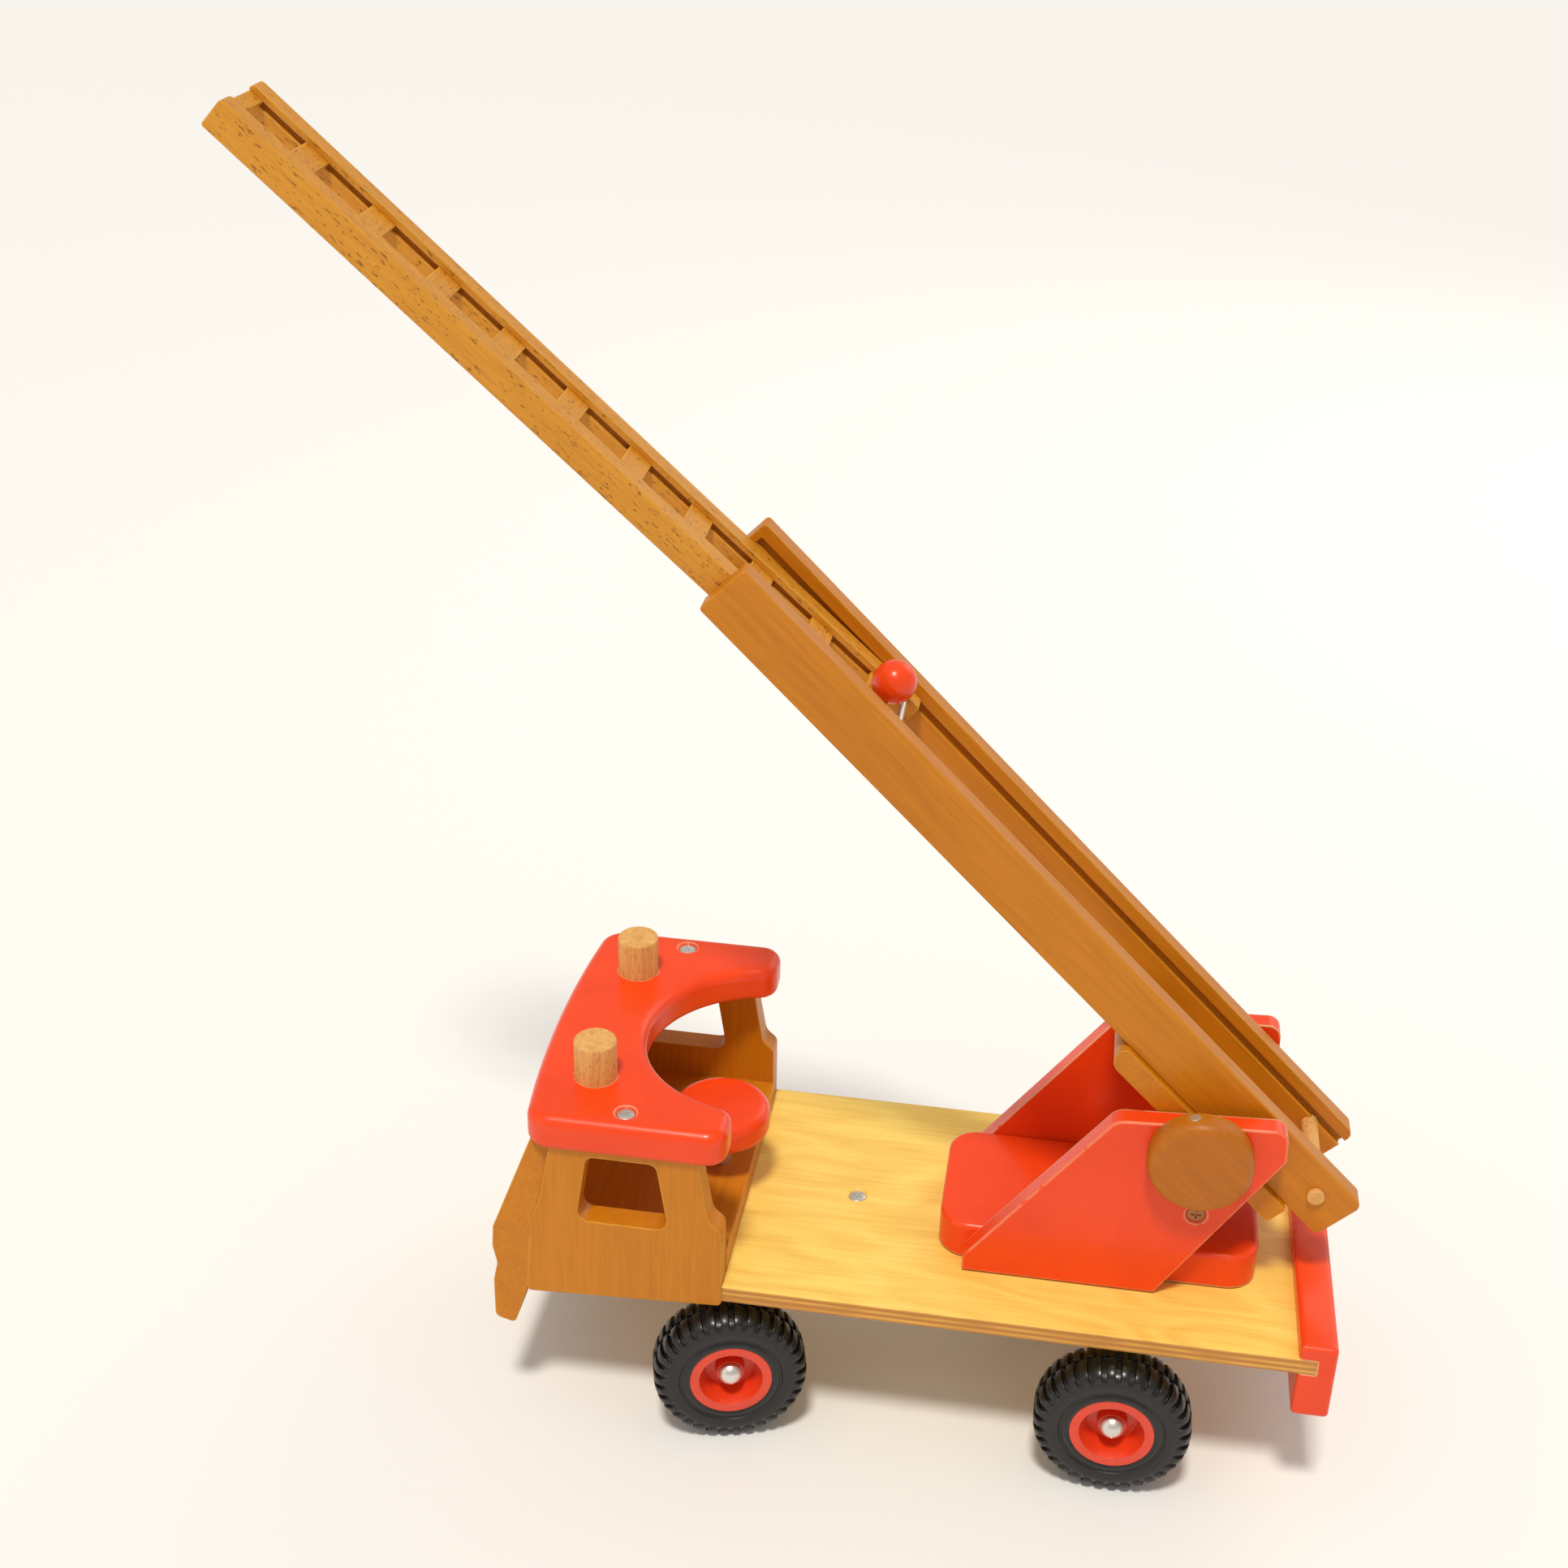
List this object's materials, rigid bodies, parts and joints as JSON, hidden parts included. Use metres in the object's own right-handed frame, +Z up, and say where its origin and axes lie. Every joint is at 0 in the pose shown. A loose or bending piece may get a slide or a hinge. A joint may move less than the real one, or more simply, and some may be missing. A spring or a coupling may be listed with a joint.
{
  "type": "toy fire engine",
  "caption": "Wooden toy fire engine with a steered front axle, a turntable and a two-part extending ladder that lies between pegs on the cab roof.",
  "frame": {"origin": "on the floor, under the middle of the whole toy's box", "axes": "+Z up, +X towards the tail, so the cab faces -X, and -Y is the vehicle's left-hand side"},
  "size_m": [0.4196, 0.1534, 0.4948],
  "materials": {
    "red_paint": "gloss red paint on wood",
    "stained_beech": "amber satin lacquer",
    "ladder_beech": "amber satin lacquer with beech flecks",
    "birch_plywood": "clear satin lacquer",
    "plain_beech": "bare sanded beech",
    "tyre": "glossy black rubber",
    "red_hub": "glossy moulded red plastic",
    "steel": "bright zinc-plated steel",
    "washer_fibre": "dark pressed fibre"
  },
  "bodies": {
    "chassis": {"deck_board": "birch_plywood", "chassis_beam": "plain_beech", "rear_bumper": "red_paint", "rear_axle_block": "plain_beech", "rear_axle": "steel", "rear_axle_caps": "steel", "cab_side_left": "stained_beech", "cab_side_right": "stained_beech", "cab_front": "stained_beech", "cab_floor": "stained_beech", "cab_roof": "red_paint", "roof_peg_left": "plain_beech", "roof_peg_right": "plain_beech", "body_screws": "steel"},
    "steering": {"steering_block": "plain_beech", "steering_washer": "washer_fibre", "steering_column": "steel", "steering_wheel": "red_paint", "front_axle": "steel", "front_axle_caps": "steel"},
    "turntable": {"turntable_base": "red_paint", "turntable_washer": "washer_fibre", "turntable_bolt": "steel", "cheek_left": "red_paint", "cheek_right": "red_paint", "cheek_screws": "steel", "cheek_spacer": "plain_beech"},
    "ladder": {"outer_rail_left": "stained_beech", "outer_rail_right": "stained_beech", "pivot_bar": "stained_beech", "foot_dowel": "plain_beech", "mouth_bar": "plain_beech", "pivot_axle": "steel", "knob_left": "stained_beech", "knob_right": "stained_beech", "knob_nails": "steel"},
    "slide_pin": {"slide_pin": "steel"},
    "fly": {"fly_rail_right": "ladder_beech", "fly_rail_left": "ladder_beech", "fly_rung_tip": "ladder_beech", "fly_rung_01": "ladder_beech", "fly_rung_02": "ladder_beech", "fly_rung_03": "ladder_beech", "fly_rung_04": "ladder_beech", "fly_rung_05": "ladder_beech", "fly_rung_06": "ladder_beech", "fly_rung_07": "ladder_beech", "fly_rung_08": "ladder_beech", "fly_rung_09": "ladder_beech", "fly_rung_10": "ladder_beech", "pull_ball": "red_paint", "pull_ball_stem": "plain_beech"},
    "front_wheel_left": {"front_tyre_left": "tyre", "front_hub_left": "red_hub"},
    "front_wheel_right": {"front_tyre_right": "tyre", "front_hub_right": "red_hub"},
    "rear_wheel_left": {"rear_tyre_left": "tyre", "rear_hub_left": "red_hub"},
    "rear_wheel_right": {"rear_tyre_right": "tyre", "rear_hub_right": "red_hub"}
  },
  "joints": [
    {"name": "steering", "type": "hinge", "parent": "chassis", "child": "steering", "pos_m": [-0.03808, 0, 0.03], "axis": [0, 0, 1], "range_deg": [-39, 11]},
    {"name": "front_wheel_left_roll", "type": "hinge", "parent": "steering", "child": "front_wheel_left", "pos_m": [-0.02281, -0.06123, 0.03], "axis": [-0.2419, 0.9703, 0], "continuous": true},
    {"name": "front_wheel_right_roll", "type": "hinge", "parent": "steering", "child": "front_wheel_right", "pos_m": [-0.05334, 0.06123, 0.03], "axis": [-0.2419, 0.9703, 0], "continuous": true},
    {"name": "rear_wheel_left_roll", "type": "hinge", "parent": "chassis", "child": "rear_wheel_left", "pos_m": [0.12652, -0.0631, 0.03], "axis": [0, 1, 0], "continuous": true},
    {"name": "rear_wheel_right_roll", "type": "hinge", "parent": "chassis", "child": "rear_wheel_right", "pos_m": [0.12652, 0.0631, 0.03], "axis": [0, 1, 0], "continuous": true},
    {"name": "turntable_turn", "type": "hinge", "parent": "chassis", "child": "turntable", "pos_m": [0.11492, 0, 0.07165], "axis": [0, 0, 1], "continuous": true},
    {"name": "ladder_raise", "type": "hinge", "parent": "turntable", "child": "ladder", "pos_m": [0.14832, 0, 0.13875], "axis": [0, 1, 0], "range_deg": [-44.3, 18]},
    {"name": "ladder_slide", "type": "slide", "parent": "ladder", "child": "slide_pin", "axis": [-0.7123, 0, 0.7019], "range_m": [-0.225, 0]},
    {"name": "fly_tilt", "type": "hinge", "parent": "slide_pin", "child": "fly", "pos_m": [0.02559, 0, 0.28923], "axis": [0, 1, 0], "range_deg": [0, 3.6]}
  ],
  "couplings": [
    {"joint": "fly_tilt", "follows": "ladder_slide", "rad_per_m": -0.2705}
  ]
}
